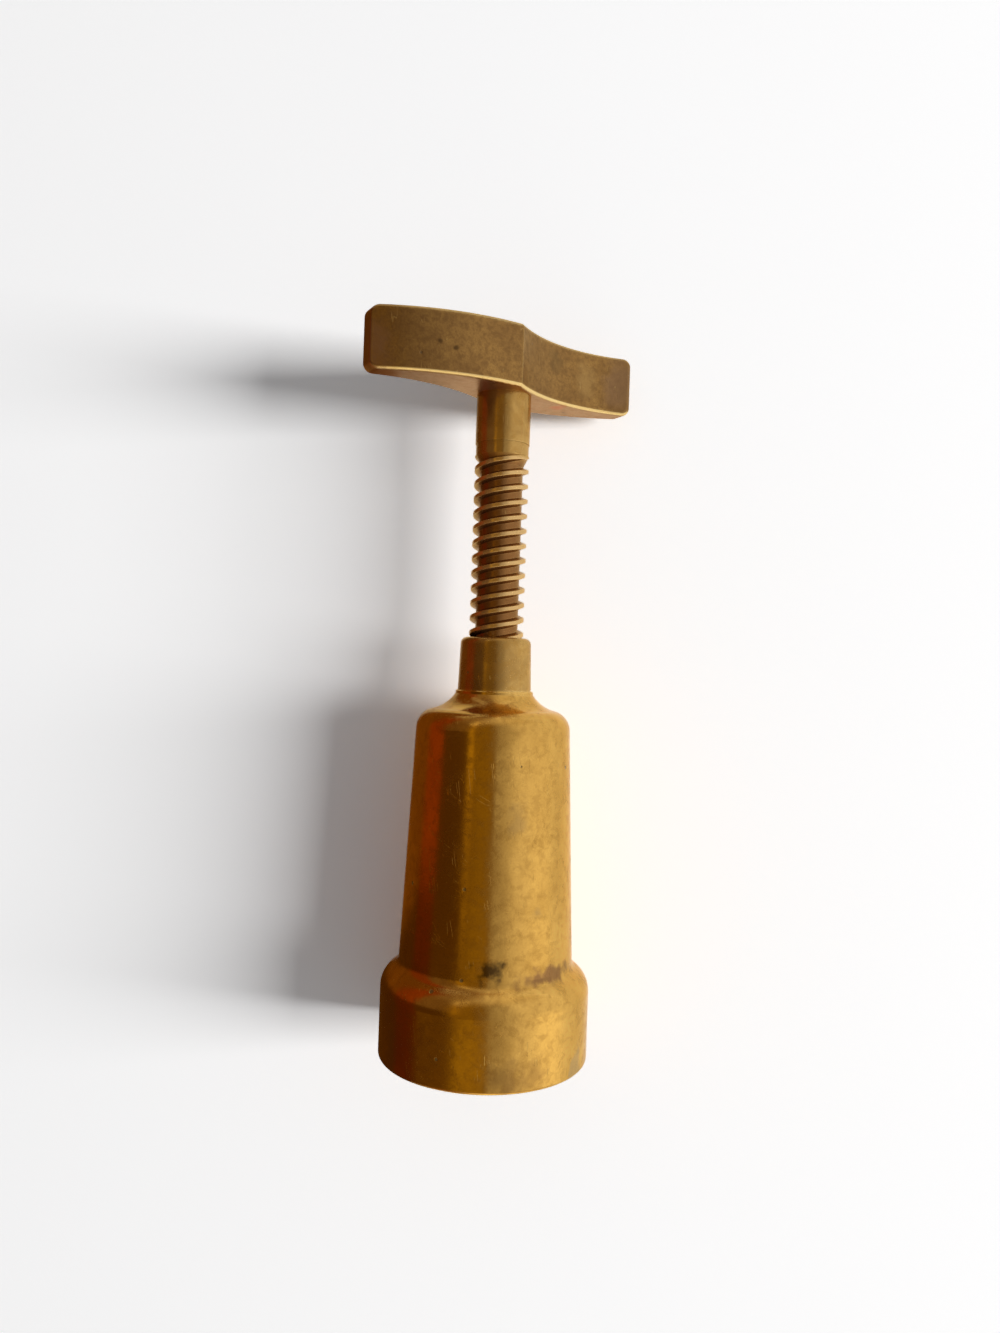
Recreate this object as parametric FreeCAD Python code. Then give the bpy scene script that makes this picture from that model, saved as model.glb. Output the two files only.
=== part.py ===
import FreeCAD, Part
import math
import os

# Screw corkscrew with a bell barrel, drawn with its spindle screwed nearly all the way up.
# Millimetres. +Z runs up the axis, the origin is the centre of the bell's rim, and the handle lies along X.

# Fits
running_gap = 0.20       # radial play between the spindle's thread and the neck's thread
washer_gap = 0.10        # radial play of the loose washer round the thread
press_gap = 0.02         # radial play left in pressed and pinned joints
mouth_ease = 0.10        # play added to running_gap where the thread's run-out enters the neck's mouth
cutter_overrun = 1.0     # how far a hole is cut past the face it opens in
tolerance = 0.01         # for telling edges apart

# Hollow of the bell
chamber_radius = 13.5    # room for the drawn cork
chamber_round = 3.0
lip_width = 2.5          # ledge that rests on the bottle's mouth
mouth_depth = 16.0
mouth_chamfer = 0.8

# Outside of the bell's collar
collar_wall = 5.0
collar_side = 13.8       # height of the collar's straight side
collar_crown = 4.1       # height of the rounded top above that side
collar_crown_bow = 0.13  # rise of each arc as a share of its chord, here and below
rim_round = 0.7

# Outside of the bell's barrel
foot_fillet_height = 1.7
foot_fillet_width = 1.1
foot_fillet_bow = 0.12
barrel_side = 46.2       # height of the tapered wall
barrel_taper = 1.95      # how much the wall's radius shrinks over that height
barrel_wall = 2.05       # wall at the barrel's top
shoulder_height = 3.7
shoulder_width = 2.9
shoulder_bow = 0.16
flare_height = 3.2
flare_bow = 0.10
seam_ring_height = 0.7
seam_ring_width = 0.45   # how far the seam ring stands out past the neck bush
seam_chamfer = 0.2
roof_thickness = 9.4     # from the chamber's roof up to the seat of the neck bush

# Neck bush
neck_height = 10.7
neck_wall = 1.42         # brass outside the thread's root at the neck's top
neck_taper = 0.3
neck_round = 1.25
bush_wall = 1.2          # brass outside the thread's root in the pressed spigot
counterbore_depth = 8.2  # plain hole in the bush's foot, where the spindle runs clear of the thread
counterbore_ease = 0.15  # how much wider than the thread that hole is

# Screw thread: two starts, right-handed, narrow round ridges with wide flat grooves between them
thread_starts = 2
thread_lead = 6.0
thread_crest_radius = 5.5
thread_depth = 1.2
ridge_top_share = 0.20   # share of the pitch at the ridge's top
groove_share = 0.40      # share of the pitch at the groove's floor
thread_shown = 39.0      # from the neck up to the smooth shank in this pose
thread_run_out = 2.4
thread_phase = 98        # degrees by which the thread is turned round the axis
lobe_points = 20         # points that draw one ridge and groove of the thread's section
relief_height = 2.4      # plain band between the thread and the shank
relief_step = 0.15       # how much lower than the shank that band is

# Spindle
shank_length = 10.0
spigot_step = 1.5        # shoulder between shank and spigot
foot_length = 8.0
foot_wall = 2.0          # brass round the worm's tang
rise_left = 1.8          # how far the washer is below the chamber's roof

# Stop collar, washer and pins
stop_overhang = 1.5      # how far the stop collar stands out past the thread
stop_chamfer = 0.6
washer_overhang = 2.0    # how far the washer stands out past the stop collar
washer_thickness = 1.2
worm_pin_radius = 0.8
handle_pin_radius = 1.25
pin_sink = 0.3           # how far a pin's end lies under the surface
pin_bite = 1.0           # how far the handle's dowel reaches past the spigot

# Worm
worm_pitch = 9.0         # longer than the thread's lead, so the cork climbs while the spindle goes down
wire_radius = 1.5
worm_radius = 2.7        # axis to the middle of the wire
worm_tip_gap = 2.5       # from the bottle's lip up to the worm's point in this pose
worm_tang = 6.5          # straight wire held in the spindle's foot
worm_crank = 5.4         # height over which the wire swings out from the axis
worm_point = 8.0         # height over which the wire tapers
worm_tip_radius = 0.12
worm_steps_per_turn = 14  # rings of points that draw each turn
worm_ring_points = 12

# Handle, S-shaped in plan: each side has one full wing and one hollow wing
handle_half_length = 30.0
handle_height = 12.3
handle_roof = 3.5        # brass above the spigot
handle_end_round = 1.8   # corners of the ends, seen from the front
handle_edge_round = 0.8
ridge_reach = 8.6        # axis plane to the ridge
ridge_lead = 0.8         # ridge's distance from the middle, towards the full wing
belly_reach = 8.0
belly_place = 14.0
hollow_reach = 1.6
hollow_place = 14.0
full_end_reach = 1.8
hollow_end_reach = 2.4

# Sizes that follow from those above
quarter_bow = (math.sqrt(2) - 1) / 2
mouth_radius = chamber_radius + lip_width
collar_radius = mouth_radius + collar_wall
barrel_top_radius = chamber_radius + barrel_wall
barrel_foot_radius = barrel_top_radius + barrel_taper
collar_top_radius = barrel_foot_radius + foot_fillet_width
neck_top_radius = thread_crest_radius + running_gap + neck_wall
neck_foot_radius = neck_top_radius + neck_taper
flare_top_radius = neck_foot_radius + seam_ring_width
shoulder_top_radius = barrel_top_radius - shoulder_width
bush_spigot_radius = thread_crest_radius + running_gap + bush_wall
shank_radius = thread_crest_radius
spigot_radius = shank_radius - spigot_step
spigot_length = handle_height - handle_roof
foot_radius = wire_radius + foot_wall
stop_radius = thread_crest_radius + stop_overhang
washer_radius = stop_radius + washer_overhang
handle_pin_blind = spigot_radius + pin_bite

# Heights that follow
collar_top = collar_side + collar_crown
barrel_foot = collar_top + foot_fillet_height
barrel_top = barrel_foot + barrel_side
shoulder_top = barrel_top + shoulder_height
flare_top = shoulder_top + flare_height
neck_seat = flare_top + seam_ring_height
neck_top = neck_seat + neck_height
chamber_top = neck_seat - roof_thickness
shank_foot = neck_top + thread_shown
relief_foot = shank_foot - relief_height
handle_foot = shank_foot + shank_length
washer_foot = chamber_top - rise_left - washer_thickness
stop_foot = washer_foot - foot_length
worm_tip = mouth_depth + worm_tip_gap


def point(radius, height):
    return FreeCAD.Vector(radius, 0, height)


def bow(start, end, share):
    """Middle point of an arc whose rise is a share of its chord, to the left of the way from start to end."""
    chord = end - start
    side = FreeCAD.Vector(-chord.z, chord.y, chord.x)
    return (start + end) * 0.5 + side * share


def turned(corners):
    """Solid of revolution. A corner is (radius, height), or (radius, height, bow) if an arc leads to it."""
    edges = []
    here = point(*corners[-1][:2])
    for corner in corners:
        there = point(*corner[:2])
        if len(corner) == 3:
            edges.append(Part.Arc(here, bow(here, there, corner[2]), there).toShape())
        else:
            edges.append(Part.makeLine(here, there))
        here = there
    face = Part.Face(Part.Wire(edges))
    return face.revolve(FreeCAD.Vector(0, 0, 0), FreeCAD.Vector(0, 0, 1), 360)


def cylinder(radius, low, high):
    return Part.makeCylinder(radius, high - low, FreeCAD.Vector(0, 0, low))


def cross_pin(radius, start, end, along, height):
    """Round pin across the axis, from start to end along the direction given."""
    return Part.makeCylinder(radius, end - start, along * start + FreeCAD.Vector(0, 0, height), along)


def thread_form(place):
    """Depth from 0 on a ridge to 1 in a groove. Whole numbers of place are the middles of ridges."""
    from_ridge = min(place % 1, 1 - place % 1) * 2
    flank = 1 - ridge_top_share - groove_share
    down = max(0, min(1, (from_ridge - ridge_top_share) / flank))
    return down * down * (3 - 2 * down)


def screw(crest_radius, low, high):
    """Rounded multi-start screw between two heights, turned so that every screw made here is in mesh."""
    axis = FreeCAD.Vector(0, 0, 1)
    count = thread_starts * lobe_points
    start_angle = 2 * math.pi * low / thread_lead + math.radians(thread_phase)
    outline = []
    for index in range(count):
        angle = start_angle + 2 * math.pi * index / count
        radius = crest_radius - thread_depth * thread_form(index / lobe_points)
        outline.append(FreeCAD.Vector(radius * math.cos(angle), radius * math.sin(angle), low))
    section = Part.BSplineCurve()
    section.interpolate(Points=outline, PeriodicFlag=True)
    guide = Part.makeHelix(thread_lead, high - low, 2 * crest_radius)  # any radius turns the section alike
    guide.translate(axis * low)
    spine = Part.makeLine(axis * low, axis * high)
    sweep = Part.BRepOffsetAPI.MakePipeShell(Part.Wire([spine]))
    sweep.setAuxiliarySpine(Part.Wire(guide.Edges), True, 0)
    sweep.add(Part.Wire([section.toShape()]))
    sweep.build()
    sweep.makeSolid()
    return sweep.shape()


def run_out_cone(crest_radius, crest_height, above):
    """Cone that the thread fades into, as wide as given at crest_height. It starts inside the roots."""
    below = thread_run_out + cutter_overrun
    slope = thread_depth / thread_run_out
    foot = FreeCAD.Vector(0, 0, crest_height - below)
    return Part.makeCone(crest_radius - slope * below, crest_radius + slope * above, below + above, foot)


def make_bell():
    return turned([
        (mouth_radius + mouth_chamfer, 0),
        (collar_radius - rim_round, 0),
        (collar_radius, rim_round, -quarter_bow),
        (collar_radius, collar_side),
        (collar_top_radius, collar_top, -collar_crown_bow),
        (barrel_foot_radius, barrel_foot, foot_fillet_bow),
        (barrel_top_radius, barrel_top),
        (shoulder_top_radius, shoulder_top, -shoulder_bow),
        (flare_top_radius, flare_top, flare_bow),
        (flare_top_radius, neck_seat - seam_chamfer),
        (flare_top_radius - seam_chamfer, neck_seat),
        (bush_spigot_radius + press_gap, neck_seat),
        (bush_spigot_radius + press_gap, chamber_top),
        (chamber_radius - chamber_round, chamber_top),
        (chamber_radius, chamber_top - chamber_round, quarter_bow),
        (chamber_radius, mouth_depth),
        (mouth_radius, mouth_depth),
        (mouth_radius, mouth_chamfer),
    ])


def make_neck_bush():
    body = turned([
        (0, chamber_top),
        (bush_spigot_radius, chamber_top),
        (bush_spigot_radius, neck_seat),
        (neck_foot_radius, neck_seat),
        (neck_top_radius, neck_top - neck_round),
        (neck_top_radius - neck_round, neck_top, -quarter_bow),
        (0, neck_top),
    ])
    hole_radius = thread_crest_radius + running_gap
    thread_foot = chamber_top + counterbore_depth
    countersunk = body.cut(run_out_cone(hole_radius + mouth_ease, neck_top, cutter_overrun))
    clear_hole = cylinder(hole_radius + counterbore_ease, chamber_top - cutter_overrun, thread_foot)
    bored = countersunk.cut(clear_hole)
    return bored.cut(screw(hole_radius, thread_foot - cutter_overrun, neck_top + cutter_overrun))


def make_spindle():
    band_radius = thread_crest_radius - relief_step
    thread = screw(thread_crest_radius, washer_foot, relief_foot)
    band = cylinder(band_radius, relief_foot, shank_foot)
    shank = cylinder(shank_radius, shank_foot, handle_foot)
    spigot = cylinder(spigot_radius, handle_foot, handle_foot + spigot_length)
    foot = cylinder(foot_radius, stop_foot, washer_foot)
    run_out = run_out_cone(band_radius, relief_foot, 0)
    spindle = shank.fuse([thread, run_out, band, spigot, foot]).removeSplitter()
    tang_hole = cylinder(wire_radius + press_gap, stop_foot, stop_foot + worm_tang + press_gap)
    return spindle.cut([tang_hole, make_worm_pin(press_gap), make_handle_pin(press_gap)])


def make_stop_collar():
    body = turned([
        (foot_radius + press_gap, stop_foot),
        (stop_radius - stop_chamfer, stop_foot),
        (stop_radius, stop_foot + stop_chamfer),
        (stop_radius, washer_foot - stop_chamfer / 2),
        (stop_radius - stop_chamfer / 2, washer_foot),
        (foot_radius + press_gap, washer_foot),
    ])
    return body.cut(make_worm_pin(press_gap, pin_sink))


def make_stop_washer():
    washer_top = washer_foot + washer_thickness
    disc = cylinder(washer_radius, washer_foot, washer_top)
    hole_radius = thread_crest_radius + washer_gap
    return disc.cut(cylinder(hole_radius, washer_foot - cutter_overrun, washer_top + cutter_overrun))


def make_worm_pin(gap=0, extra=0):
    reach = stop_radius - pin_sink + extra
    middle = stop_foot + foot_length / 2
    return cross_pin(worm_pin_radius + gap, -reach, reach, FreeCAD.Vector(1, 0, 0), middle)


def make_handle_pin(gap=0, extra=0):
    """Dowel driven in from the back, +Y. Its blind end stops short of the front."""
    outer = back_reach() - pin_sink + extra
    middle = handle_foot + spigot_length / 2
    return cross_pin(handle_pin_radius + gap, -handle_pin_blind, outer, FreeCAD.Vector(0, 1, 0), middle)


def wire_ring(height, centre_radius, radius):
    """Closed ring of points round the wire, where its middle passes the height given."""
    angle = 2 * math.pi * height / worm_pitch
    outward = FreeCAD.Vector(math.cos(angle), math.sin(angle), 0)
    around = FreeCAD.Vector(-math.sin(angle), math.cos(angle), 0)
    along = around * (2 * math.pi * centre_radius / worm_pitch) + FreeCAD.Vector(0, 0, 1)
    along.normalize()
    side = along.cross(outward)
    centre = outward * centre_radius + FreeCAD.Vector(0, 0, height)
    ring = []
    for index in range(worm_ring_points):
        turn = 2 * math.pi * index / worm_ring_points
        ring.append(centre - outward * (radius * math.cos(turn)) - side * (radius * math.sin(turn)))
    return ring + ring[:1]


def skinned(rings):
    """Solid whose side runs smoothly through the rings of points, with a flat face at each end."""
    skin = Part.BSplineSurface()
    skin.interpolate(rings)
    first, last = skin.bounds()[:2]
    faces = [skin.toShape()]
    for end in (first, last):
        faces.append(Part.Face(Part.Wire([skin.uIso(end).toShape()])))
    shell = Part.makeCompound(faces)
    shell.sewShape()
    solid = Part.Solid(shell)
    if solid.Volume < 0:
        solid.reverse()
    return solid


def make_worm():
    """Wire helix, right-handed as the thread is, cranked in to a straight tang."""
    length = stop_foot + worm_tang - worm_tip
    steps = math.ceil(length / worm_pitch * worm_steps_per_turn)
    rings = []
    for step in range(steps + 1):
        height = worm_tip + length * step / steps
        swing = max(min((stop_foot - height) / worm_crank, 1), 0)
        swing = swing * swing * (3 - 2 * swing)
        taper = min((height - worm_tip) / worm_point, 1)
        taper = math.sqrt(taper * (2 - taper))
        radius = worm_tip_radius + (wire_radius - worm_tip_radius) * taper
        rings.append(wire_ring(height, worm_radius * swing, radius))
    return skinned(rings).cut(make_worm_pin(press_gap))


def handle_side(turn):
    """Arcs of the full wing and the hollow wing on one long side. The front has turn 1, the back has -1."""
    def place(along, reach):
        return FreeCAD.Vector(along * turn, -reach * turn, 0)
    ridge = place(-ridge_lead, ridge_reach)
    full_end = place(-handle_half_length, full_end_reach)
    hollow_end = place(handle_half_length, hollow_end_reach)
    full = Part.Arc(full_end, place(-belly_place, belly_reach), ridge).toShape()
    hollow = Part.Arc(ridge, place(hollow_place, hollow_reach), hollow_end).toShape()
    return full, hollow


def back_reach():
    """How far the handle's back lies behind the axis."""
    hollow = handle_side(-1)[1].Curve
    return hollow.Center.y - math.sqrt(hollow.Radius ** 2 - hollow.Center.x ** 2)


def is_end_edge(edge):
    """Short level edge across the end of a wing."""
    box = edge.BoundBox
    return box.ZLength < tolerance and box.XLength < tolerance


def is_border_edge(edge):
    """Edge that bounds a long side of the bar, apart from the ridges."""
    box = edge.BoundBox
    ridge = box.ZLength > handle_height / 2 and abs(box.Center.x) < ridge_lead + tolerance
    return not is_end_edge(edge) and not ridge


def make_handle():
    front = handle_side(1)
    back = handle_side(-1)
    right_end = Part.makeLine(front[1].lastVertex().Point, back[0].firstVertex().Point)
    left_end = Part.makeLine(back[1].lastVertex().Point, front[0].firstVertex().Point)
    plan = Part.Face(Part.Wire([*front, right_end, *back, left_end]))
    plan.translate(FreeCAD.Vector(0, 0, handle_foot))
    bar = plan.extrude(FreeCAD.Vector(0, 0, handle_height))
    bar = bar.makeFillet(handle_end_round, [edge for edge in bar.Edges if is_end_edge(edge)])
    bar = bar.makeFillet(handle_edge_round, [edge for edge in bar.Edges if is_border_edge(edge)])
    hole_top = handle_foot + spigot_length + pin_sink
    hole = cylinder(spigot_radius + press_gap, handle_foot - cutter_overrun, hole_top)
    return bar.cut([hole, make_handle_pin(press_gap, 2 * pin_sink)])


os.makedirs("parts", exist_ok=True)
pieces = {
    "bell": make_bell(),
    "neck_bush": make_neck_bush(),
    "spindle": make_spindle(),
    "stop_collar": make_stop_collar(),
    "stop_washer": make_stop_washer(),
    "worm": make_worm(),
    "worm_pin": make_worm_pin(),
    "handle": make_handle(),
    "handle_pin": make_handle_pin(),
}
for node, shape in pieces.items():
    box = shape.BoundBox
    print(node, "solids", len(shape.Solids), "valid", shape.isValid(), "volume", round(shape.Volume, 2),
          "z", round(box.ZMin, 2), round(box.ZMax, 2), "x", round(box.XMin, 2), round(box.XMax, 2))
    shape.exportStep("parts/" + node + ".step")
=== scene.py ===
import math
import bpy
from mathutils import Matrix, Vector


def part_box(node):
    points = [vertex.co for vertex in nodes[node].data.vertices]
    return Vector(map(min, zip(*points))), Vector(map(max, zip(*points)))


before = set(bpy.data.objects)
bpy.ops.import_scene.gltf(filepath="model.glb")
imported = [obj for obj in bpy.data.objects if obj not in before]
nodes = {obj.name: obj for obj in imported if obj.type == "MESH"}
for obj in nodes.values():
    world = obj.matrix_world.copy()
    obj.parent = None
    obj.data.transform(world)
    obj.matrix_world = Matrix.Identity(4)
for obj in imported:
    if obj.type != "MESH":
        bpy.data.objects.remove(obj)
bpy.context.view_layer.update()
scene = bpy.context.scene
mm = 0.001


# Small helpers for node trees

def addNode(tree, kind, values=None, **settings):
    made = tree.nodes.new("ShaderNode" + kind)
    for name, value in settings.items():
        setattr(made, name, value)
    for name, value in (values or {}).items():
        plug(tree, value, made.inputs[name])
    return made


def plug(tree, value, socket):
    if isinstance(value, bpy.types.NodeSocket):
        tree.links.new(value, socket)
    else:
        socket.default_value = value


def calc(tree, operation, first, second=0.0, third=0.0):
    made = tree.nodes.new("ShaderNodeMath")
    made.operation = operation
    for value, socket in zip((first, second, third), made.inputs):
        plug(tree, value, socket)
    return made.outputs[0]


def ramp(tree, value, low, high, start=0.0, end=1.0):
    # smooth rise from start to end while the value goes from low to high
    given = {"Value": value, "From Min": low, "From Max": high, "To Min": start, "To Max": end}
    return addNode(tree, "MapRange", given, interpolation_type="SMOOTHSTEP").outputs["Result"]


def blendColors(tree, amount, first, second):
    made = addNode(tree, "Mix", data_type="RGBA")
    plug(tree, amount, made.inputs["Factor"])
    plug(tree, first, made.inputs["A"])
    plug(tree, second, made.inputs["B"])
    return made.outputs["Result"]


def cover(tree, color, mask, strength, over):
    # lays one colour over another where the mask is, at the given strength
    return blendColors(tree, calc(tree, "MULTIPLY", mask, strength), color, over)


def newGroup(name, inputs, outputs):
    # inputs are {socket name: default}, where None makes a vector; each output is a number
    tree = bpy.data.node_groups.new(name, "ShaderNodeTree")
    for label, default in inputs.items():
        kind = "NodeSocketVector" if default is None else "NodeSocketFloat"
        socket = tree.interface.new_socket(label, in_out="INPUT", socket_type=kind)
        if default is not None:
            socket.default_value = default
    for label in outputs:
        tree.interface.new_socket(label, in_out="OUTPUT", socket_type="NodeSocketFloat")
    return tree, tree.nodes.new("NodeGroupInput").outputs, tree.nodes.new("NodeGroupOutput").inputs


def useGroup(tree, group, **values):
    made = tree.nodes.new("ShaderNodeGroup")
    made.node_tree = group
    for name, value in values.items():
        plug(tree, value, made.inputs[name])
    return made.outputs


# Shared effects, each a node group

def makeCloudGroup():
    # soft uneven patches of tarnish, with finer breaks along their borders
    tree, given, out = newGroup("cloudyTarnish", {
        "Place": None, "Scale": 100.0, "Cover": 0.5, "Softness": 0.1, "Seed": 0.0}, ["Mask"])
    texture = {"Vector": given["Place"], "W": given["Seed"], "Scale": given["Scale"],
               "Detail": 5.0, "Roughness": 0.62, "Distortion": 0.5}
    clouds = addNode(tree, "TexNoise", texture, noise_dimensions="4D")
    # most of the noise lies between 0.25 and 0.75, so a cover from 0 to 1 cuts it from 0.75 to 0.25
    cut = calc(tree, "SUBTRACT", 1.0, given["Cover"])
    centre = calc(tree, "MULTIPLY_ADD", cut, 0.5, 0.25)
    low = calc(tree, "SUBTRACT", centre, given["Softness"])
    high = calc(tree, "ADD", centre, given["Softness"])
    plug(tree, ramp(tree, clouds.outputs["Fac"], low, high), out["Mask"])
    return tree


def makeScratchGroup():
    # long thin lines, broken up by a coarse noise; Stretch is how much longer than wide they are
    tree, given, out = newGroup("handlingScratches", {
        "Place": None, "Turn": None, "Scale": 900.0, "Stretch": 30.0, "Width": 0.012, "Share": 0.5,
        "Seed": 0.0}, ["Mask"])
    turned = addNode(tree, "VectorRotate", {"Vector": given["Place"], "Rotation": given["Turn"]},
                     rotation_type="EULER_XYZ")
    shorten = calc(tree, "DIVIDE", 1.0, given["Stretch"])
    factors = addNode(tree, "CombineXYZ", {"X": 1.0, "Y": 1.0, "Z": shorten})
    drawn = addNode(tree, "VectorMath", {0: turned.outputs[0], 1: factors.outputs[0]}, operation="MULTIPLY")
    fineTexture = {"Vector": drawn.outputs[0], "W": given["Seed"], "Scale": given["Scale"],
                   "Detail": 1.0, "Roughness": 0.4}
    lines = addNode(tree, "TexNoise", fineTexture, noise_dimensions="4D")
    # a line runs where the fine noise crosses its middle value
    off = calc(tree, "ABSOLUTE", calc(tree, "SUBTRACT", lines.outputs["Fac"], 0.5))
    line = ramp(tree, off, 0.0, given["Width"], 1.0, 0.0)
    coarseScale = calc(tree, "MULTIPLY", given["Scale"], 0.35)
    coarseTexture = {"Vector": given["Place"], "W": given["Seed"], "Scale": coarseScale, "Detail": 2.0}
    coarse = addNode(tree, "TexNoise", coarseTexture, noise_dimensions="4D")
    # a share from 0 to 1 keeps the lines where the coarse noise is over 0.75 to 0.25
    cut = calc(tree, "MULTIPLY_ADD", given["Share"], -0.5, 0.75)
    patch = ramp(tree, coarse.outputs["Fac"], cut, calc(tree, "ADD", cut, 0.06))
    plug(tree, calc(tree, "MULTIPLY", line, patch), out["Mask"])
    return tree


def makePitGroup():
    # scattered round pits; Share is how many of the cells hold one
    tree, given, out = newGroup("castPits", {
        "Place": None, "Scale": 500.0, "Size": 0.25, "Share": 0.2}, ["Mask"])
    cells = addNode(tree, "TexVoronoi", {"Vector": given["Place"], "Scale": given["Scale"],
                                         "Randomness": 1.0})
    pick = addNode(tree, "SeparateColor", {"Color": cells.outputs["Color"]}).outputs
    # a cell's own random green makes its pit 0.3 to 1.1 of the size, and its red says whether it has one
    size = calc(tree, "MULTIPLY", given["Size"], calc(tree, "MULTIPLY_ADD", pick["Green"], 0.8, 0.3))
    dot = ramp(tree, cells.outputs["Distance"], calc(tree, "MULTIPLY", size, 0.5), size, 1.0, 0.0)
    chosen = calc(tree, "LESS_THAN", pick["Red"], given["Share"])
    plug(tree, calc(tree, "MULTIPLY", dot, chosen), out["Mask"])
    return tree


def makeStainGroup():
    # one ragged patch of its own place and size, for marks that only this object has: stained spots, and one
    # painted reflection
    tree, given, out = newGroup("singleStain", {
        "Place": None, "Centre": None, "Reach": None, "Softness": 0.5, "Ragged": 0.3,
        "Grain": 400.0}, ["Mask"])
    offset = addNode(tree, "VectorMath", {0: given["Place"], 1: given["Centre"]}, operation="SUBTRACT")
    sized = addNode(tree, "VectorMath", {0: offset.outputs[0], 1: given["Reach"]}, operation="DIVIDE")
    far = addNode(tree, "VectorMath", {0: sized.outputs[0]}, operation="LENGTH")
    rough = addNode(tree, "TexNoise", {"Vector": given["Place"], "Scale": given["Grain"], "Detail": 3.0})
    shift = calc(tree, "MULTIPLY", calc(tree, "SUBTRACT", rough.outputs["Fac"], 0.5), given["Ragged"])
    distance = calc(tree, "MULTIPLY_ADD", shift, 4.0, far.outputs["Value"])   # 1 at the stain's border
    solid = calc(tree, "SUBTRACT", 1.0, given["Softness"])
    plug(tree, ramp(tree, distance, solid, 1.0, 1.0, 0.0), out["Mask"])
    return tree


def makeWearGroup():
    # Edge is where handling rubs a corner bright, Hollow is where little of the sky is seen, for grime and
    # painted shade
    tree, given, out = newGroup("edgeWearAndHollowShade", {
        "Reach": 0.6 * mm, "Depth": 3 * mm, "Ragged": 0.3, "Place": None}, ["Edge", "Hollow"])
    rounded = addNode(tree, "Bevel", {"Radius": given["Reach"]}, samples=4)
    flat = addNode(tree, "NewGeometry").outputs["Normal"]
    agree = addNode(tree, "VectorMath", {0: rounded.outputs[0], 1: flat}, operation="DOT_PRODUCT")
    bend = calc(tree, "SUBTRACT", 1.0, agree.outputs["Value"])
    closed = addNode(tree, "AmbientOcclusion", {"Distance": given["Depth"]}, samples=4, only_local=True)
    # the hollow mask, for grime and painted shade, is full where little of the sky is seen, and gone where
    # nearly all of it is
    hollow = ramp(tree, closed.outputs["AO"], 0.35, 0.95, 1.0, 0.0)
    noise = addNode(tree, "TexNoise", {"Vector": given["Place"], "Scale": 700.0, "Detail": 3.0})
    uneven = calc(tree, "MULTIPLY", calc(tree, "SUBTRACT", noise.outputs["Fac"], 0.5), given["Ragged"])
    # the rounded normal leans from the flat one near a corner, and a lean of 0.12 is full wear
    edge = ramp(tree, calc(tree, "ADD", bend, calc(tree, "MULTIPLY", uneven, bend)), 0.01, 0.12)
    exposed = calc(tree, "SUBTRACT", 1.0, hollow)
    plug(tree, calc(tree, "MULTIPLY", edge, exposed), out["Edge"])
    plug(tree, hollow, out["Hollow"])
    return tree


def makeLatheGroup():
    # fine rings round the axis, left by the turning tool
    tree, given, out = newGroup("turningRings", {"Place": None, "Scale": 3000.0}, ["Height"])
    parts = addNode(tree, "SeparateXYZ", {"Vector": given["Place"]})
    rings = addNode(tree, "TexNoise", {"W": parts.outputs["Z"], "Scale": given["Scale"], "Detail": 3.0},
                    noise_dimensions="1D")
    plug(tree, rings.outputs["Fac"], out["Height"])
    return tree


def makeRadiusGroup():
    # 0 at the inner radius and 1 at the outer radius, measured from the spindle's axis
    tree, given, out = newGroup("fromAxis", {"Place": None, "Inner": 0.0, "Outer": 10 * mm}, ["Mask"])
    flat = addNode(tree, "VectorMath", {0: given["Place"], 1: (1.0, 1.0, 0.0)}, operation="MULTIPLY")
    radius = addNode(tree, "VectorMath", {0: flat.outputs[0]}, operation="LENGTH")
    plug(tree, ramp(tree, radius.outputs["Value"], given["Inner"], given["Outer"]), out["Mask"])
    return tree


groups = {
    "clouds": makeCloudGroup(),
    "scratches": makeScratchGroup(),
    "pits": makePitGroup(),
    "spot": makeStainGroup(),
    "wear": makeWearGroup(),
    "rings": makeLatheGroup(),
    "fromAxis": makeRadiusGroup(),
}
print("shared effects:", len(groups))


def startMaterial(name, **constants):
    material = bpy.data.materials.new(name)
    material.use_nodes = True
    tree = material.node_tree
    shader = tree.nodes["Principled BSDF"]
    for label, value in constants.items():
        shader.inputs[label.replace("_", " ")].default_value = value
    place = addNode(tree, "TexCoord").outputs["Object"]
    return material, tree, shader, place


def finishMaterial(tree, shader, color, roughness, metallic, height, bumpDepth):
    plug(tree, color, shader.inputs["Base Color"])
    plug(tree, roughness, shader.inputs["Roughness"])
    plug(tree, metallic, shader.inputs["Metallic"])
    bump = addNode(tree, "Bump", {"Height": height, "Strength": 1.0, "Distance": bumpDepth})
    plug(tree, bump.outputs["Normal"], shader.inputs["Normal"])


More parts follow.
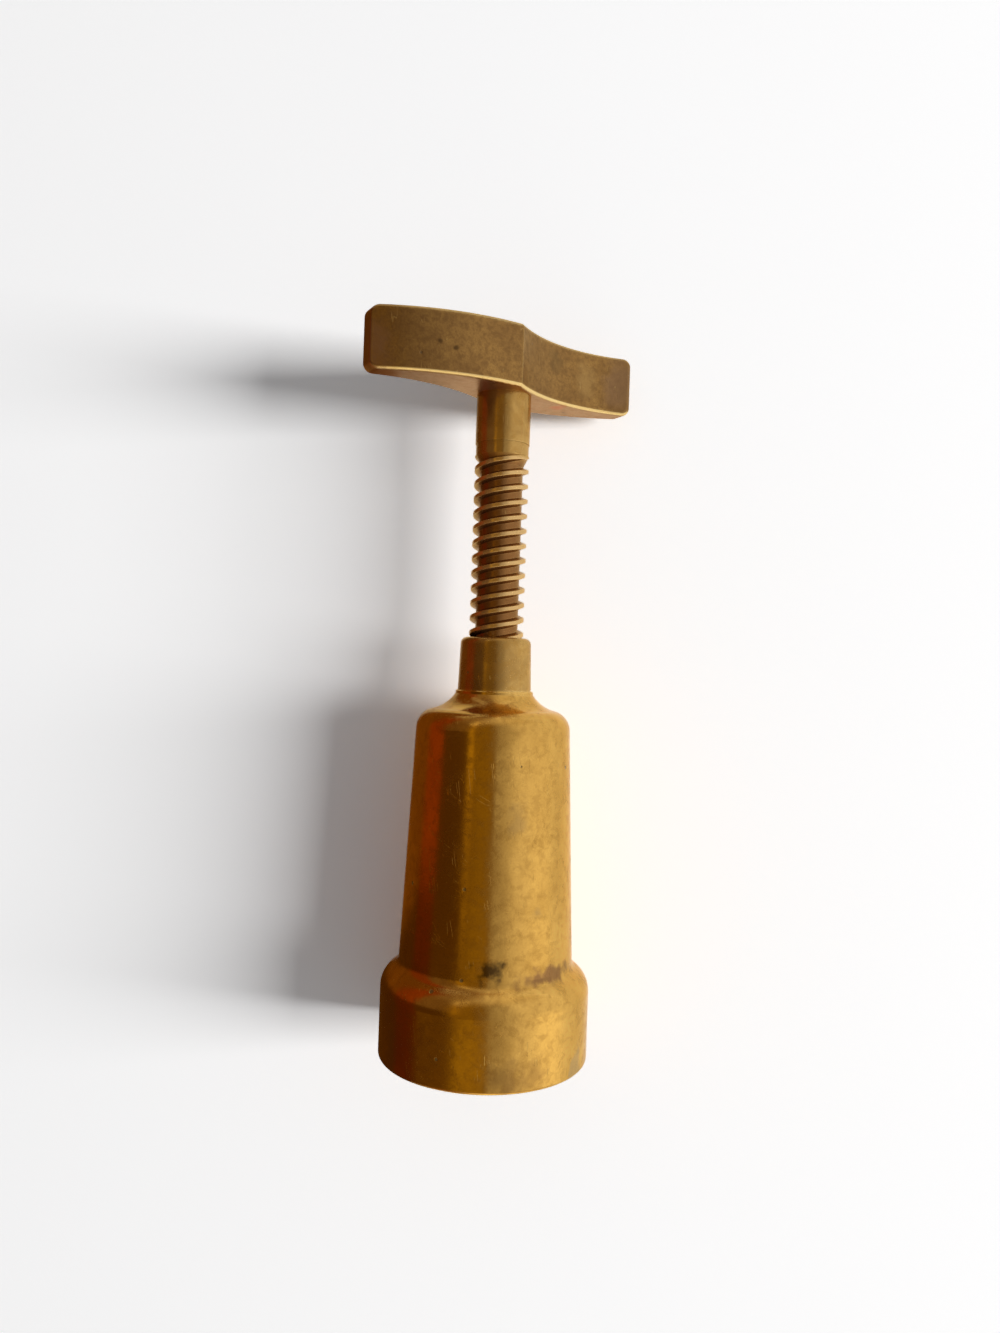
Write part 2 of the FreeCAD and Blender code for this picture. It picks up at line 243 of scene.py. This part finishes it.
def agedBrass(name, look, addMarks=None):
    # brass under uneven tarnish, with pits, scratches, rubbed edges, grime and painted shade in the hollows,
    # and single ragged patches: stained spots, and one painted reflection on the bell
    material, tree, shader, place = startMaterial(name, Specular_Tint=look["edgeTint"])
    broad = useGroup(tree, groups["clouds"], Place=place, **look["broadClouds"])["Mask"]
    fine = useGroup(tree, groups["clouds"], Place=place, **look["fineClouds"])["Mask"]
    grain = useGroup(tree, groups["clouds"], Place=place, **look["grain"])["Mask"]
    pits = useGroup(tree, groups["pits"], Place=place, **look["pits"])["Mask"]
    long = useGroup(tree, groups["scratches"], Place=place, **look["longScratches"])["Mask"]
    crossing = useGroup(tree, groups["scratches"], Place=place, **look["crossScratches"])["Mask"]
    worn = useGroup(tree, groups["wear"], Place=place, **look["wear"])

    color = blendColors(tree, broad, look["metal"], look["tarnish"])
    color = cover(tree, color, fine, look["fineStrength"], look["fineColor"])
    color = cover(tree, color, grain, look["grainStrength"], look["fineColor"])
    if addMarks:
        color = addMarks(tree, place, color)
    # each patch is a stained spot, except one painted reflection on the bell's collar
    for spot in look["patches"]:
        centre = [value * mm for value in spot["centre"]]
        reach = [value * mm for value in spot["reach"]]
        mask = useGroup(tree, groups["spot"], Place=place, Centre=centre, Reach=reach,
                        Softness=spot["softness"], Ragged=spot["ragged"])["Mask"]
        color = cover(tree, color, mask, spot["strength"], spot["color"])
    # grime and painted shade: darker in the hollows, where little of the sky is seen
    color = cover(tree, color, worn["Hollow"], look["grimeAndShadeStrength"], look["grimeAndShade"])
    color = cover(tree, color, pits, look["pitStrength"], look["pitColor"])
    color = cover(tree, color, long, look["scratchStrength"], look["rubbed"])
    color = cover(tree, color, worn["Edge"], look["edgeStrength"], look["rubbed"])

    roughness = calc(tree, "MULTIPLY_ADD", broad, look["tarnishRoughness"], look["roughness"])
    roughness = calc(tree, "MULTIPLY_ADD", fine, look["fineRoughness"], roughness)
    roughness = calc(tree, "MULTIPLY_ADD", worn["Hollow"], look["hollowRoughness"], roughness)
    roughness = calc(tree, "MULTIPLY_ADD", worn["Edge"], look["wornRoughness"], roughness)
    metallic = calc(tree, "MULTIPLY_ADD", pits, look["pitMetallic"], look["metallic"])

    rings = useGroup(tree, groups["rings"], Place=place, Scale=look["ringScale"])["Height"]
    height = calc(tree, "MULTIPLY", rings, look["ringHeight"])
    height = calc(tree, "MULTIPLY_ADD", fine, look["fineHeight"], height)
    height = calc(tree, "MULTIPLY_ADD", pits, look["pitHeight"], height)
    height = calc(tree, "MULTIPLY_ADD", long, look["scratchHeight"], height)
    height = calc(tree, "MULTIPLY_ADD", crossing, look["scratchHeight"], height)
    finishMaterial(tree, shader, color, roughness, metallic, height, look["bumpDepth"])
    return material


def dress(nodeName, material):
    # the CAD node keeps its shape and gets this finish
    obj = nodes[nodeName]
    for place in obj.material_slots:
        place.material = material


# Bell

bellLook = {
    "edgeTint": (1.0, 0.86, 0.62, 1),
    "metal": (0.72, 0.42, 0.10, 1),
    "tarnish": (0.58, 0.325, 0.072, 1),
    "fineColor": (0.40, 0.21, 0.045, 1),
    "fineStrength": 0.5,
    "grainStrength": 0.22,
    # colour for grime and painted shade in the hollows
    "grimeAndShade": (0.16, 0.08, 0.025, 1),
    "grimeAndShadeStrength": 0.6,
    "pitColor": (0.08, 0.045, 0.02, 1),
    "pitStrength": 0.7,
    "rubbed": (0.85, 0.60, 0.22, 1),
    "scratchStrength": 0.25,
    "edgeStrength": 0.5,
    "metallic": 1.0,
    "roughness": 0.155,
    "tarnishRoughness": 0.09,
    "fineRoughness": 0.08,
    "hollowRoughness": 0.15,
    "wornRoughness": -0.08,  # a rubbed edge is smoother than the rest
    "pitMetallic": -0.6,     # a pit holds dirt, so it is less metallic
    "broadClouds": {"Scale": 110.0, "Cover": 0.5, "Softness": 0.18, "Seed": 2.0},
    "fineClouds": {"Scale": 520.0, "Cover": 0.40, "Softness": 0.11, "Seed": 7.0},
    "grain": {"Scale": 2600.0, "Cover": 0.45, "Softness": 0.12, "Seed": 1.0},
    "pits": {"Scale": 420.0, "Size": 0.22, "Share": 0.05},
    "longScratches": {"Turn": (0.15, 0.1, 0.0), "Scale": 700.0, "Stretch": 25.0, "Width": 0.008,
                      "Share": 0.35},
    "crossScratches": {"Turn": (0.9, 0.6, 0.2), "Scale": 800.0, "Stretch": 18.0, "Width": 0.008,
                       "Share": 0.3},
    "wear": {"Reach": 0.8 * mm, "Depth": 3 * mm, "Ragged": 0.5},
    "patches": [   # each centre and reach in mm, in the object's own frame
        {"centre": (-14.1, -12.1, 22.2), "reach": (1.2, 1.2, 1.4), "softness": 0.7, "ragged": 0.35,
         "strength": 0.85, "color": (0.07, 0.035, 0.01, 1)},
        {"centre": (-8.3, -17.1, 21.6), "reach": (3.7, 3.7, 3.0), "softness": 0.6, "ragged": 0.5,
         "strength": 0.9, "color": (0.09, 0.05, 0.02, 1)},
        {"centre": (6.0, -16.8, 19.8), "reach": (12.5, 7.5, 2.1), "softness": 0.8, "ragged": 0.5,
         "strength": 0.85, "color": (0.22, 0.105, 0.045, 1)},
        {"centre": (10.4, -18.2, 2.2), "reach": (2.8, 2.8, 4.0), "softness": 0.5, "ragged": 0.4,
         "strength": 0.55, "color": (0.40, 0.29, 0.15, 1)},
        {"centre": (1.4, -16.6, 32.0), "reach": (2.2, 2.2, 1.8), "softness": 0.9, "ragged": 0.5,
         "strength": 0.5, "color": (0.33, 0.21, 0.08, 1)},
        {"centre": (-3.0, -15.8, 50.0), "reach": (2.6, 2.6, 5.0), "softness": 0.9, "ragged": 0.5,
         "strength": 0.45, "color": (0.36, 0.22, 0.08, 1)},
        {"centre": (-5.0, -20.0, 3.0), "reach": (9.0, 6.0, 4.5), "softness": 0.9, "ragged": 0.4,
         "strength": 0.5, "color": (0.26, 0.13, 0.04, 1)},
        # painted reflection: a pale pinkish patch on the collar's lower left side
        {"centre": (-20.5, -3.0, 6.0), "reach": (4.0, 6.0, 12.0), "softness": 0.9, "ragged": 0.4,
         "strength": 0.7, "color": (0.50, 0.30, 0.26, 1)},
    ],
    "ringScale": 2500.0,
    "ringHeight": 0.04,
    "fineHeight": 0.15,
    "pitHeight": -1.0,
    "scratchHeight": -0.35,
    "bumpDepth": 0.06 * mm,  # what a height of 1 stands for
}


def dressBell():
    dress("bell", agedBrass("castBrass", bellLook))


# Neck bush: the same brass, duller, because it is handled less

neckLook = dict(bellLook, **{
    "metal": (0.54, 0.33, 0.10, 1),
    "tarnish": (0.38, 0.22, 0.065, 1),
    "metallic": 0.93,
    "roughness": 0.17,
    "broadClouds": {"Scale": 150.0, "Cover": 0.55, "Softness": 0.14, "Seed": 4.0},
    "wear": {"Reach": 0.6 * mm, "Depth": 2 * mm, "Ragged": 0.5},
    "patches": [],
})


def dressNeck():
    dress("neck_bush", agedBrass("neckBrass", neckLook))


# Spindle, stop collar and handle pin

spindleLook = dict(bellLook, **{
    "metal": (0.50, 0.30, 0.09, 1),
    "tarnish": (0.36, 0.20, 0.055, 1),
    "metallic": 0.88,
    "broadClouds": {"Scale": 130.0, "Cover": 0.5, "Softness": 0.14, "Seed": 5.0},
    "wear": {"Reach": 0.3 * mm, "Depth": 1.6 * mm, "Ragged": 0.5},
    "patches": [],
    # painted shade for the thread's grooves, and a painted highlight for its ridges
    "groove": (0.24, 0.095, 0.032, 1),
    "grooveStrength": 0.8,
    "crestHighlight": (0.78, 0.52, 0.24, 1),
    "crestHighlightStrength": 0.6,
    "rootRadius": 4.4 * mm,
    "crestRadius": 5.5 * mm,
    "crestFrom": 0.80,       # shares of the way from root to ridge top where the painted highlight starts and is full
    "crestFull": 0.98,
    "plainShank": 12.4 * mm,   # from the handle's foot down to the thread
    "threadFade": 1 * mm,
})


def markThread(tree, place, color):
    # the grooves get painted shade, dark and red, and the ridges get a painted highlight up to the plain
    # shank
    look = spindleLook
    outward = useGroup(tree, groups["fromAxis"], Place=place, Inner=look["rootRadius"],
                       Outer=look["crestRadius"])["Mask"]
    # painted shade in the grooves, darker towards the thread's root
    color = cover(tree, color, calc(tree, "SUBTRACT", 1.0, outward), look["grooveStrength"], look["groove"])
    height = addNode(tree, "SeparateXYZ", {"Vector": place}).outputs["Z"]
    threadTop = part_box("handle")[0].z - look["plainShank"]
    onThread = ramp(tree, height, threadTop - look["threadFade"], threadTop, 1.0, 0.0)
    # painted highlight along the ridge tops of the thread, up to the plain shank
    onCrest = calc(tree, "MULTIPLY", ramp(tree, outward, look["crestFrom"], look["crestFull"]), onThread)
    return cover(tree, color, onCrest, look["crestHighlightStrength"], look["crestHighlight"])


def dressSpindle():
    material = agedBrass("turnedBrass", spindleLook, markThread)
    for name in ("spindle", "stop_collar", "handle_pin"):
        dress(name, material)


# Handle

handleLook = dict(bellLook, **{
    "metal": (0.34, 0.185, 0.052, 1),
    "tarnish": (0.24, 0.125, 0.038, 1),
    "fineColor": (0.17, 0.085, 0.028, 1),
    "metallic": 0.86,
    "roughness": 0.26,
    "fineStrength": 0.6,
    "grainStrength": 0.45,
    "broadClouds": {"Scale": 160.0, "Cover": 0.5, "Softness": 0.22, "Seed": 11.0},
    "fineClouds": {"Scale": 800.0, "Cover": 0.42, "Softness": 0.12, "Seed": 7.0},
    "wear": {"Reach": 0.9 * mm, "Depth": 3 * mm, "Ragged": 0.4},
    "ringHeight": 0.0,
    # a painted highlight along the handle's rounded edges
    "line": (0.95, 0.70, 0.30, 1),
    "highlightLineStrength": 0.9,
    "topHighlightLine": 0.4,          # how bright the upper painted highlight is beside the lower one
    "underside": (0.40, 0.205, 0.10, 1),
    "undersideStrength": 0.85,
    "underFacing": (-0.98, -0.80),   # how far up the surface faces, from -1 straight down to 1 straight up
    "roundFrom": (0.20, 0.50),       # the painted highlight starts and ends at these, facing up or down
    "roundTo": (0.85, 0.97),
    "turnOver": 0.1,                 # between the lower and the upper painted highlight
    "patches": [
        {"centre": (10.5, -3.0, 141.5), "reach": (3.0, 3.0, 3.6), "softness": 0.9, "ragged": 0.4,
         "strength": 0.6, "color": (0.15, 0.085, 0.03, 1)},
        {"centre": (19.0, -1.5, 139.5), "reach": (3.5, 3.0, 6.5), "softness": 0.9, "ragged": 0.3,
         "strength": 0.45, "color": (0.44, 0.27, 0.09, 1)},
        {"centre": (27.5, -2.0, 139.5), "reach": (5.2, 4.0, 7.5), "softness": 0.6, "ragged": 0.2,
         "strength": 0.7, "color": (0.24, 0.135, 0.065, 1)},
        {"centre": (-29.0, -1.0, 137.0), "reach": (4.5, 5.0, 8.0), "softness": 0.8, "ragged": 0.25,
         "strength": 0.75, "color": (0.30, 0.165, 0.095, 1)},
        {"centre": (-15.0, -7.8, 138.1), "reach": (0.7, 1.0, 0.6), "softness": 0.8, "ragged": 0.5,
         "strength": 0.8, "color": (0.07, 0.035, 0.012, 1)},
        {"centre": (-18.0, -7.0, 139.1), "reach": (0.6, 1.0, 0.6), "softness": 0.8, "ragged": 0.5,
         "strength": 0.7, "color": (0.07, 0.035, 0.012, 1)},
        {"centre": (13.5, 1.0, 133.1), "reach": (2.0, 3.0, 0.6), "softness": 0.8, "ragged": 0.4,
         "strength": 0.7, "color": (0.50, 0.13, 0.05, 1)},
    ],
})


def markHandle(tree, place, color):
    # the rounded edges along the top and bottom get a painted highlight line, brighter at the bottom, and
    # the underside is copper-red
    look = handleLook
    normal = addNode(tree, "NewGeometry").outputs["Normal"]
    facing = addNode(tree, "SeparateXYZ", {"Vector": normal}).outputs["Z"]
    under = ramp(tree, facing, *look["underFacing"], look["undersideStrength"], 0.0)
    color = blendColors(tree, under, color, look["underside"])
    # painted highlight where the rounded edges face partly up or down
    level = calc(tree, "ABSOLUTE", facing)
    started = ramp(tree, level, *look["roundFrom"])
    ended = ramp(tree, level, *look["roundTo"], 1.0, 0.0)
    rounding = calc(tree, "MULTIPLY", started, ended)
    upper = ramp(tree, facing, -look["turnOver"], look["turnOver"], 1.0, look["topHighlightLine"])
    rounding = calc(tree, "MULTIPLY", rounding, upper)
    return cover(tree, color, rounding, look["highlightLineStrength"], look["line"])


def dressHandle():
    dress("handle", agedBrass("handleBrass", handleLook, markHandle))


# Worm and its pin: drawn steel wire

wormLook = {
    "steel": (0.60, 0.585, 0.56, 1),
    "spot": (0.22, 0.13, 0.07, 1),
    "clouds": {"Scale": 260.0, "Cover": 0.30, "Softness": 0.08, "Seed": 3.0},
    "scratches": {"Turn": (0.3, 0.2, 0.0), "Scale": 2500.0, "Stretch": 15.0, "Width": 0.03, "Share": 0.8},
    "roughness": 0.22,
    "stainStrength": 0.7,
    "stainRoughness": 0.35,
    "metallic": 1.0,
    "stainMetallic": -0.4,
    "scratchHeight": -0.5,
    "bumpDepth": 0.03 * mm,
}


def dressWorm():
    look = wormLook
    material, tree, shader, place = startMaterial("drawnSteel")
    rust = useGroup(tree, groups["clouds"], Place=place, **look["clouds"])["Mask"]
    lines = useGroup(tree, groups["scratches"], Place=place, **look["scratches"])["Mask"]
    color = cover(tree, look["steel"], rust, look["stainStrength"], look["spot"])
    roughness = calc(tree, "MULTIPLY_ADD", rust, look["stainRoughness"], look["roughness"])
    metallic = calc(tree, "MULTIPLY_ADD", rust, look["stainMetallic"], look["metallic"])
    height = calc(tree, "MULTIPLY_ADD", lines, look["scratchHeight"], rust)
    finishMaterial(tree, shader, color, roughness, metallic, height, look["bumpDepth"])
    dress("worm", material)
    dress("worm_pin", material)


# Stop washer: pressed red fibre

washerLook = {
    "fibre": (0.26, 0.075, 0.04, 1),
    "pale": (0.42, 0.17, 0.10, 1),
    "strands": {"Turn": (1.2, 0.4, 0.0), "Scale": 1800.0, "Stretch": 8.0, "Width": 0.06, "Share": 0.9},
    "clouds": {"Scale": 300.0, "Cover": 0.45, "Softness": 0.15, "Seed": 9.0},
    "strandStrength": 0.6,
    "strandHeight": 0.6,
    "roughness": 0.62,
    "wornRoughness": 0.15,
    "bumpDepth": 0.04 * mm,
}


def dressWasher():
    look = washerLook
    material, tree, shader, place = startMaterial("pressedFibre")
    strands = useGroup(tree, groups["scratches"], Place=place, **look["strands"])["Mask"]
    worn = useGroup(tree, groups["clouds"], Place=place, **look["clouds"])["Mask"]
    color = cover(tree, look["fibre"], strands, look["strandStrength"], look["pale"])
    roughness = calc(tree, "MULTIPLY_ADD", worn, look["wornRoughness"], look["roughness"])
    height = calc(tree, "MULTIPLY_ADD", strands, look["strandHeight"], worn)
    finishMaterial(tree, shader, color, roughness, 0.0, height, look["bumpDepth"])
    dress("stop_washer", material)


dressBell()
dressNeck()
dressSpindle()
dressHandle()
dressWorm()
dressWasher()
print("finishes on", len(nodes), "pieces")


# Camera: close to the object and level with its upper barrel, rolled so that the object leans to the right

cameraLook = {
    "azimuth": -29.3,        # degrees round the axis from the handle's front
    "distance": 203 * mm,    # from the axis
    "height": 78.3 * mm,
    "sideStep": 1.0 * mm,
    "roll": -1.94,           # degrees
    "lens": 27.03,           # mm, on a sensor of the width below
    "sensor": 36,
}


def turnZ(degrees):
    return Matrix.Rotation(math.radians(degrees), 4, "Z")


def placeCamera():
    look = cameraLook
    camera = bpy.data.objects.new("photoCamera", bpy.data.cameras.new("photoCamera"))
    scene.collection.objects.link(camera)
    camera.data.sensor_width = look["sensor"]
    camera.data.lens = look["lens"]
    camera.data.clip_start = 1 * mm
    stand = Matrix.Translation((look["sideStep"], -look["distance"], look["height"]))
    roll = Matrix.Rotation(math.radians(look["roll"]), 4, "Y")
    level = Matrix.Rotation(math.radians(90), 4, "X")
    camera.matrix_world = turnZ(look["azimuth"]) @ stand @ roll @ level
    scene.camera = camera


# Table: the white surface that the corkscrew lies on, so it stands upright behind the collar here

tableLook = {
    "halfSize": 450 * mm,
    "gap": 0.5 * mm,
    "color": (0.80, 0.80, 0.80, 1),
    "shownColor": (1.66, 1.66, 1.66, 1),   # brings the lit table up to near white
}


def quad(name, corners, material):
    # a flat sheet; its corners are as the camera sees them, x to the right, y away and z up
    mesh = bpy.data.meshes.new(name)
    mesh.from_pydata(corners, [], [(0, 1, 2, 3)])
    mesh.transform(turnZ(cameraLook["azimuth"]))
    mesh.materials.append(material)
    obj = bpy.data.objects.new(name, mesh)
    scene.collection.objects.link(obj)
    return obj


def emptyMaterial(name):
    # the material, its node tree and the socket that its shader goes into
    material = bpy.data.materials.new(name)
    material.use_nodes = True
    tree = material.node_tree
    tree.nodes.clear()
    return material, tree, tree.nodes.new("ShaderNodeOutputMaterial").inputs["Surface"]


def placeTable():
    look = tableLook
    material, tree, surface = emptyMaterial("whiteTable")
    path = addNode(tree, "LightPath").outputs
    seen = calc(tree, "MAXIMUM", path["Is Camera Ray"], path["Is Glossy Ray"])
    seen = calc(tree, "MAXIMUM", seen, path["Is Transmission Ray"])
    shown = blendColors(tree, seen, look["color"], look["shownColor"])
    paint = addNode(tree, "BsdfDiffuse", {"Color": shown})
    clear = addNode(tree, "BsdfTransparent")
    behind = addNode(tree, "NewGeometry").outputs["Backfacing"]   # seen from behind it is clear
    both = addNode(tree, "MixShader", {0: behind, 1: paint.outputs[0], 2: clear.outputs[0]})
    plug(tree, both.outputs[0], surface)

    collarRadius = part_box("bell")[1].x
    back = collarRadius + look["gap"]
    half = look["halfSize"]
    corners = [(-half, back, -half), (half, back, -half), (half, back, half), (-half, back, half)]
    quad("table", corners, material)


# Surroundings: a dim warm room with soft panels. Angles are in degrees, to the right of the camera and up.

roomLook = {
    "white": (0.95, 0.95, 0.95, 1),
    "matt": (0.152, 0.152, 0.156, 1),   # what matt surfaces get from the room, beside the lamp
    "room": (0.085, 0.036, 0.003, 1),
    "panels": {   # a later panel lies over the earlier ones
        "upLeft": {"middle": -95, "half": 80, "edge": 10, "low": 5, "high": 80, "fade": 5,
                   "color": (0.20, 0.115, 0.045, 1)},
        "keyRim": {"middle": 66.5, "half": 61, "edge": 2.5, "low": -62, "high": 78, "fade": 14,
                   "color": (0.50, 0.46, 0.40, 1)},
        "key": {"middle": 79, "half": 49, "edge": 16, "low": -62, "high": 78, "fade": 14,
                "color": (0.98, 0.96, 0.93, 1)},
        "keyHeart": {"middle": 76, "half": 18, "edge": 14, "low": -62, "high": -8, "fade": 12,
                     "color": (1.35, 1.33, 1.25, 1)},
        "strip": {"middle": -30, "half": 4.5, "edge": 1.5, "low": -9, "high": 80, "fade": 9,
                  "color": (0.52, 0.32, 0.02, 1)},
        "front": {"middle": -10, "half": 13, "edge": 4, "low": -60, "high": 80, "fade": 12,
                  "color": (0.27, 0.16, 0.008, 1)},
        "lowLeft": {"middle": -58, "half": 26, "edge": 10, "low": -60, "high": -15, "fade": 5,
                    "color": (0.145, 0.072, 0.006, 1)},
        "lowFront": {"middle": -14, "half": 18, "edge": 8, "low": -60, "high": -15, "fade": 5,
                     "color": (0.38, 0.24, 0.02, 1)},
        "above": {"middle": 0, "half": 181, "edge": 1, "low": 55, "high": 100, "fade": 15,
                  "color": (0.34, 0.24, 0.14, 1)},
        "aboveRight": {"middle": 75, "half": 75, "edge": 45, "low": 52, "high": 110, "fade": 16,
                       "color": (0.95, 0.90, 0.80, 1)},
        "window": {"middle": -30, "half": 4, "edge": 2, "low": 38, "high": 60, "fade": 8,
                   "color": (1.5, 1.3, 0.85, 1)},
        "below": {"middle": 0, "half": 181, "edge": 1, "low": -110, "high": -40, "fade": 15,
                  "color": (0.30, 0.15, 0.06, 1)},
        "belowRight": {"middle": 55, "half": 80, "edge": 20, "low": -110, "high": -50, "fade": 10,
                       "color": (1.35, 1.28, 1.05, 1)},
        "rearRight": {"middle": 155, "half": 24, "edge": 8, "low": -60, "high": 70, "fade": 14,
                      "color": (0.80, 0.70, 0.58, 1)},
        "rearLeft": {"middle": -145, "half": 32, "edge": 8, "low": -60, "high": 70, "fade": 14,
                     "color": (0.55, 0.45, 0.34, 1)},
    },
}


def makePanelGroup():
    # 1 inside the panel and 0 outside; Half is half its width, Edge and Fade soften its sides and its ends
    tree, given, out = newGroup("softPanel", {
        "Round": 0.0, "Up": 0.0, "Middle": 0.0, "Half": 10.0, "Edge": 2.0, "Low": 0.0, "High": 10.0,
        "Fade": 5.0}, ["Mask"])

    def border(value, limit, soft, start, end):
        low = calc(tree, "SUBTRACT", limit, soft)
        high = calc(tree, "ADD", limit, soft)
        return ramp(tree, value, low, high, start, end)

    off = calc(tree, "ABSOLUTE", calc(tree, "SUBTRACT", given["Round"], given["Middle"]))
    across = border(off, given["Half"], given["Edge"], 1.0, 0.0)
    over = border(given["Up"], given["Low"], given["Fade"], 0.0, 1.0)
    under = border(given["Up"], given["High"], given["Fade"], 1.0, 0.0)
    plug(tree, calc(tree, "MULTIPLY", across, calc(tree, "MULTIPLY", over, under)), out["Mask"])
    return tree


def lightRoom():
    look = roomLook
    world = bpy.data.worlds.new("room")
    scene.world = world
    world.use_nodes = True
    tree = world.node_tree
    tree.nodes.clear()
    panelGroup = makePanelGroup()
    way = addNode(tree, "TexCoord").outputs["Generated"]
    toCamera = addNode(tree, "VectorRotate", {"Vector": way, "Angle": -math.radians(cameraLook["azimuth"])},
                       rotation_type="Z_AXIS")
    parts = addNode(tree, "SeparateXYZ", {"Vector": toCamera.outputs[0]}).outputs
    forward = calc(tree, "MULTIPLY", parts["Y"], -1.0)
    degrees = 180 / math.pi
    around = calc(tree, "MULTIPLY", calc(tree, "ARCTAN2", parts["X"], forward), degrees)
    up = calc(tree, "MULTIPLY", calc(tree, "ARCSINE", parts["Z"]), degrees)
    color = look["room"]
    for panel in look["panels"].values():
        mask = useGroup(tree, panelGroup, Round=around, Up=up, Middle=panel["middle"], Half=panel["half"],
                        Edge=panel["edge"], Low=panel["low"], High=panel["high"], Fade=panel["fade"])["Mask"]
        color = blendColors(tree, mask, color, panel["color"])
    path = addNode(tree, "LightPath").outputs
    color = blendColors(tree, path["Is Diffuse Ray"], color, look["matt"])
    color = blendColors(tree, path["Is Camera Ray"], color, look["white"])
    background = addNode(tree, "Background", {"Color": color})
    output = tree.nodes.new("ShaderNodeOutputWorld")
    plug(tree, background.outputs[0], output.inputs["Surface"])


# Lamp: a broad soft light from the right, level with the object, which throws the shadow to the left

lampLook = {
    "azimuth": 55,           # degrees round from the camera to the right
    "distance": 3.0,         # metres, as the lengths below are
    "height": 60 * mm,
    "width": 2.07,
    "tall": 0.75,
    "power": 66,             # watts
}


def placeLamp():
    look = lampLook
    lamp = bpy.data.objects.new("sideLamp", bpy.data.lights.new("sideLamp", "AREA"))
    scene.collection.objects.link(lamp)
    lamp.data.shape = "RECTANGLE"
    lamp.data.size = look["width"]
    lamp.data.size_y = look["tall"]
    lamp.data.energy = look["power"]
    stand = Matrix.Translation((0, -look["distance"], look["height"]))
    level = Matrix.Rotation(math.radians(90), 4, "X")
    lamp.matrix_world = turnZ(cameraLook["azimuth"] + look["azimuth"]) @ stand @ level
    lamp.visible_glossy = False   # the metal sees the room's panels instead


# Two coloured cards at the left that only the metal sees: one stands on the table, the other lies on it

cardLook = {
    "left": 118 * mm,        # from the axis, just outside the camera's view
    "right": 24 * mm,        # from the axis, past the collar
    "height": 62 * mm,       # above the table
    "gap": 0.3 * mm,         # between the table and the card that lies on it
    "low": -120 * mm,
    "high": 260 * mm,
    "standing": (0.26, 0.052, 0.004, 1),
    "lying": (0.19, 0.075, 0.007, 1),
    "darkBelow": 0.40,       # how bright both cards are beside the collar
    "darkTo": 26 * mm,
}


def placeCard(name, color, corners):
    look = cardLook
    material, tree, surface = emptyMaterial(name)
    place = addNode(tree, "TexCoord").outputs["Object"]
    height = addNode(tree, "SeparateXYZ", {"Vector": place}).outputs["Z"]
    strength = ramp(tree, height, look["darkTo"] / 2, look["darkTo"], look["darkBelow"], 1.0)
    glow = addNode(tree, "Emission", {"Color": color, "Strength": strength})
    plug(tree, glow.outputs[0], surface)
    card = quad(name, corners, material)
    card.visible_camera = False
    card.visible_diffuse = False
    card.visible_shadow = False


def placeCards():
    look = cardLook
    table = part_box("bell")[1].x + tableLook["gap"]
    near = table - look["gap"]
    front = table - look["height"]
    left, right = -look["left"], -look["right"]
    low, high = look["low"], look["high"]
    placeCard("copperCard", look["standing"],
              [(left, table, low), (left, front, low), (left, front, high), (left, table, high)])
    placeCard("brownCard", look["lying"],
              [(left, near, low), (right, near, low), (right, near, high), (left, near, high)])


placeCamera()
placeTable()
lightRoom()
placeLamp()
placeCards()
scene.view_settings.view_transform = "Standard"
print("camera, table and light are set")
